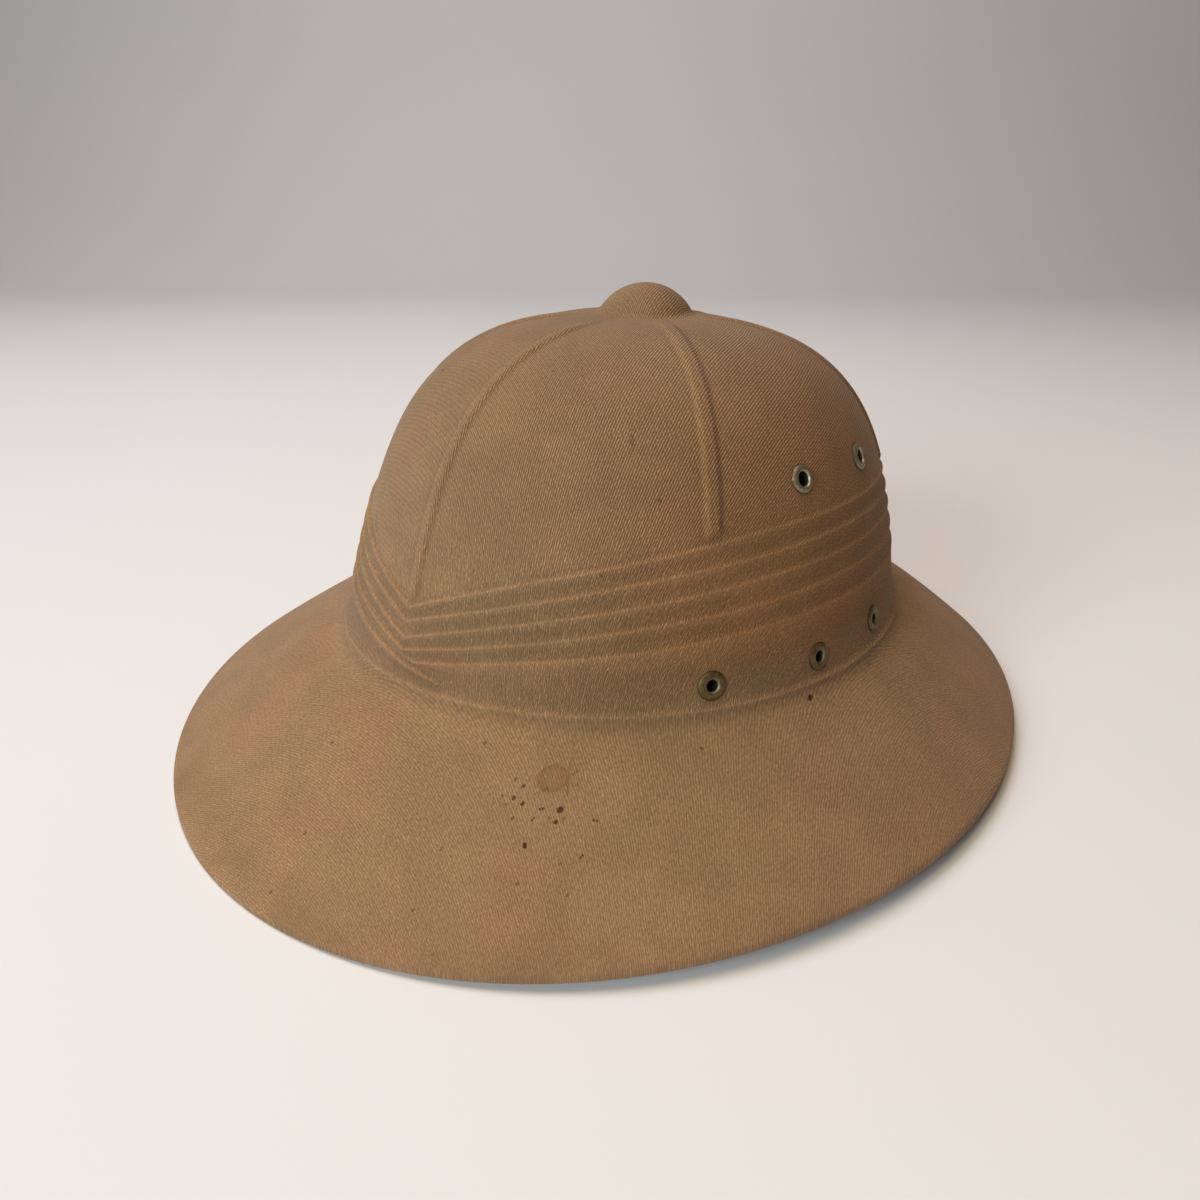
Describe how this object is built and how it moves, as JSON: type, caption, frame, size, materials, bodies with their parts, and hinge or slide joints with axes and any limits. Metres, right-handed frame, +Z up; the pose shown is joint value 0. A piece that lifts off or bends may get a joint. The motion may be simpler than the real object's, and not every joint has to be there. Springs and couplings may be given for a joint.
{
  "type": "pith helmet",
  "caption": "Pressed-fibre sun helmet under khaki twill: ribbed domed crown with a moulded knob, swept band folds, metal vent eyelets and a wide sloping brim.",
  "frame": {"origin": "middle of the hat's footprint, on the surface that its rim stands on", "axes": "+Z up through the knob, +Y from the front of the brim to its back, +X to the wearer's left"},
  "size_m": [0.2802, 0.33, 0.1428],
  "materials": {
    "khaki_twill": "matte cotton twill pressed on to the moulded fibre, mottled and lightly stained",
    "tarnished_brass": "dull brown tarnish",
    "grey_plated_metal": "worn grey plating with a rolled lip"
  },
  "bodies": {
    "root": {"helmet_shell": "khaki_twill", "eyelet_left_low_front": "tarnished_brass", "eyelet_left_low_middle": "tarnished_brass", "eyelet_left_low_rear": "tarnished_brass", "eyelet_left_high_front": "grey_plated_metal", "eyelet_left_high_rear": "grey_plated_metal", "eyelet_right_low_front": "tarnished_brass", "eyelet_right_low_middle": "tarnished_brass", "eyelet_right_low_rear": "tarnished_brass", "eyelet_right_high_front": "grey_plated_metal", "eyelet_right_high_rear": "grey_plated_metal"}
  },
  "joints": []
}
